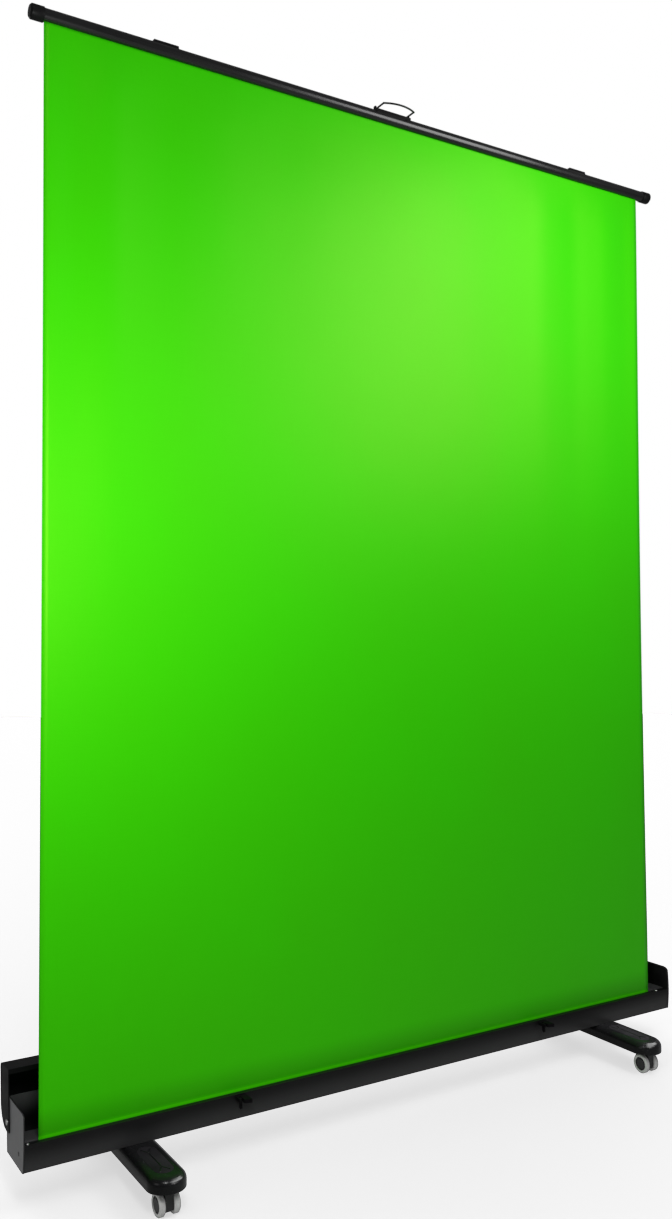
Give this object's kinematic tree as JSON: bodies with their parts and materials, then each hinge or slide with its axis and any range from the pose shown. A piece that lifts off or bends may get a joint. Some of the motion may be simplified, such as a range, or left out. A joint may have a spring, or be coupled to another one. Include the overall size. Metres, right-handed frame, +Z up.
{
  "type": "pull-up backdrop screen",
  "caption": "Floor-rising green backdrop screen: fabric drawn up from a long casing by a folding X-frame, with a hinged lid and two castered feet.",
  "frame": {"origin": "on the floor, at the middle of the casing's length and depth", "axes": "+X along the width to the right seen from the front, -Y the front that the fabric faces, +Z up"},
  "size_m": [1.5974, 0.405, 2.1188],
  "materials": {
    "casing_black": "satin black powder coat",
    "cover_satin": "dark satin coat",
    "end_plate_grey": "satin charcoal coat",
    "screw_steel": "bright zinc",
    "roller_alu": "mill finish tube",
    "green_fabric": "matt woven polyester",
    "bar_black": "satin black",
    "moulding_black": "fine-grained moulding",
    "spline_white": "plain extrusion",
    "handle_wire": "black coated wire",
    "arm_grey": "dark anodised flat bar",
    "foot_gloss": "gloss black moulding",
    "caster_black": "black nylon",
    "tyre_grey": "light grey polyurethane"
  },
  "bodies": {
    "base": {"casing": "casing_black", "end_plate_left": "end_plate_grey", "end_plate_right": "end_plate_grey", "roller_cover": "cover_satin", "casing_screws": "screw_steel", "roller_spindle": "screw_steel", "screen_fabric": "green_fabric", "arm_base_left": "arm_grey", "arm_base_right": "arm_grey", "base_pivot_pins": "screw_steel", "lid_pins": "screw_steel", "latch_base_left": "moulding_black", "latch_base_right": "moulding_black", "foot_left": "foot_gloss", "foot_right": "foot_gloss"},
    "roller": {"roller_tube": "roller_alu", "wound_fabric": "green_fabric", "roller_plug_left": "moulding_black", "roller_plug_right": "moulding_black", "roller_spring": "screw_steel"},
    "lower_left": {"lower_arm_left": "arm_grey", "elbow_pin_left": "screw_steel"},
    "upper_left": {"upper_arm_left": "arm_grey"},
    "lower_right": {"lower_arm_right": "arm_grey", "elbow_pin_right": "screw_steel"},
    "upper_right": {"upper_arm_right": "arm_grey"},
    "bar": {"top_bar": "bar_black", "bar_cap_left": "moulding_black", "bar_cap_right": "moulding_black", "fabric_spline": "spline_white", "bar_bracket_left": "moulding_black", "bar_bracket_right": "moulding_black", "bar_pivot_pins": "screw_steel", "handle_plate": "moulding_black"},
    "handle": {"handle_bail": "handle_wire"},
    "lid": {"lid_panel": "casing_black", "lid_cheek_left": "casing_black", "lid_cheek_right": "casing_black"},
    "latch_left": {"latch_lever_left": "moulding_black"},
    "latch_right": {"latch_lever_right": "moulding_black"},
    "caster_front_left": {"caster_front_left": "caster_black"},
    "wheel_1": {"wheel_1": "caster_black", "tyre_1": "tyre_grey"},
    "wheel_2": {"wheel_2": "caster_black", "tyre_2": "tyre_grey"},
    "caster_front_right": {"caster_front_right": "caster_black"},
    "wheel_3": {"wheel_3": "caster_black", "tyre_3": "tyre_grey"},
    "wheel_4": {"wheel_4": "caster_black", "tyre_4": "tyre_grey"},
    "caster_rear_left": {"caster_rear_left": "caster_black"},
    "wheel_5": {"wheel_5": "caster_black", "tyre_5": "tyre_grey"},
    "wheel_6": {"wheel_6": "caster_black", "tyre_6": "tyre_grey"},
    "caster_rear_right": {"caster_rear_right": "caster_black"},
    "wheel_7": {"wheel_7": "caster_black", "tyre_7": "tyre_grey"},
    "wheel_8": {"wheel_8": "caster_black", "tyre_8": "tyre_grey"}
  },
  "joints": [
    {"name": "screen_lift", "type": "hinge", "parent": "base", "child": "lower_left", "pos_m": [-0.531, 0.0115, 0.1], "axis": [0, 1, 0], "range_deg": [0, 59.97], "deforming": ["screen_fabric"]},
    {"name": "elbow_left", "type": "hinge", "parent": "lower_left", "child": "upper_left", "pos_m": [0.01773, 0.0175, 1.09925], "axis": [0, 1, 0], "range_deg": [-120.04, 0]},
    {"name": "bar_level", "type": "hinge", "parent": "upper_left", "child": "bar", "pos_m": [-0.531, 0.0175, 2.0985], "axis": [0, 1, 0], "range_deg": [0, 60.07]},
    {"name": "arm_right", "type": "hinge", "parent": "base", "child": "lower_right", "pos_m": [0.531, 0.0295, 0.1], "axis": [0, 1, 0], "range_deg": [-60.07, 0]},
    {"name": "elbow_right", "type": "hinge", "parent": "lower_right", "child": "upper_right", "pos_m": [-0.01773, 0.0235, 1.09925], "axis": [0, 1, 0], "range_deg": [0, 120.04]},
    {"name": "roller_spin", "type": "hinge", "parent": "base", "child": "roller", "pos_m": [0, -0.02375, 0.0955], "axis": [1, 0, 0], "range_deg": [0, 6795.6]},
    {"name": "handle_hinge", "type": "hinge", "parent": "bar", "child": "handle", "pos_m": [-0.009, -0.039, 2.1153], "axis": [-1, 0, 0], "range_deg": [0, 165]},
    {"name": "lid_hinge", "type": "hinge", "parent": "base", "child": "lid", "pos_m": [0, 0.0385, 0.1275], "axis": [-1, 0, 0], "range_deg": [-2, 6]},
    {"name": "latch_left", "type": "hinge", "parent": "base", "child": "latch_left", "pos_m": [-0.3805, -0.061, 0.112], "axis": [-1, 0, 0], "range_deg": [0, 95]},
    {"name": "latch_right", "type": "hinge", "parent": "base", "child": "latch_right", "pos_m": [0.3805, -0.061, 0.112], "axis": [-1, 0, 0], "range_deg": [0, 95]},
    {"name": "swivel_front_left", "type": "hinge", "parent": "base", "child": "caster_front_left", "pos_m": [-0.583, -0.1615, 0.047], "axis": [0, 0, 1], "continuous": true},
    {"name": "roll_1", "type": "hinge", "parent": "caster_front_left", "child": "wheel_1", "pos_m": [-0.5965, -0.1695, 0.02], "axis": [1, 0, 0], "continuous": true},
    {"name": "roll_2", "type": "hinge", "parent": "caster_front_left", "child": "wheel_2", "pos_m": [-0.5695, -0.1695, 0.02], "axis": [1, 0, 0], "continuous": true},
    {"name": "swivel_front_right", "type": "hinge", "parent": "base", "child": "caster_front_right", "pos_m": [0.583, -0.1615, 0.047], "axis": [0, 0, 1], "continuous": true},
    {"name": "roll_3", "type": "hinge", "parent": "caster_front_right", "child": "wheel_3", "pos_m": [0.5695, -0.1695, 0.02], "axis": [1, 0, 0], "continuous": true},
    {"name": "roll_4", "type": "hinge", "parent": "caster_front_right", "child": "wheel_4", "pos_m": [0.5965, -0.1695, 0.02], "axis": [1, 0, 0], "continuous": true},
    {"name": "swivel_rear_left", "type": "hinge", "parent": "base", "child": "caster_rear_left", "pos_m": [-0.583, 0.1615, 0.047], "axis": [0, 0, 1], "continuous": true},
    {"name": "roll_5", "type": "hinge", "parent": "caster_rear_left", "child": "wheel_5", "pos_m": [-0.5965, 0.1695, 0.02], "axis": [1, 0, 0], "continuous": true},
    {"name": "roll_6", "type": "hinge", "parent": "caster_rear_left", "child": "wheel_6", "pos_m": [-0.5695, 0.1695, 0.02], "axis": [1, 0, 0], "continuous": true},
    {"name": "swivel_rear_right", "type": "hinge", "parent": "base", "child": "caster_rear_right", "pos_m": [0.583, 0.1615, 0.047], "axis": [0, 0, 1], "continuous": true},
    {"name": "roll_7", "type": "hinge", "parent": "caster_rear_right", "child": "wheel_7", "pos_m": [0.5695, 0.1695, 0.02], "axis": [1, 0, 0], "continuous": true},
    {"name": "roll_8", "type": "hinge", "parent": "caster_rear_right", "child": "wheel_8", "pos_m": [0.5965, 0.1695, 0.02], "axis": [1, 0, 0], "continuous": true}
  ],
  "couplings": [
    {"joint": "elbow_left", "follows": "screen_lift", "ratio": -2},
    {"joint": "bar_level", "follows": "screen_lift", "ratio": 1},
    {"joint": "arm_right", "follows": "screen_lift", "ratio": -1},
    {"joint": "elbow_right", "follows": "screen_lift", "ratio": 2},
    {"joint": "roller_spin", "follows": "screen_lift", "ratio": 113.3}
  ]
}
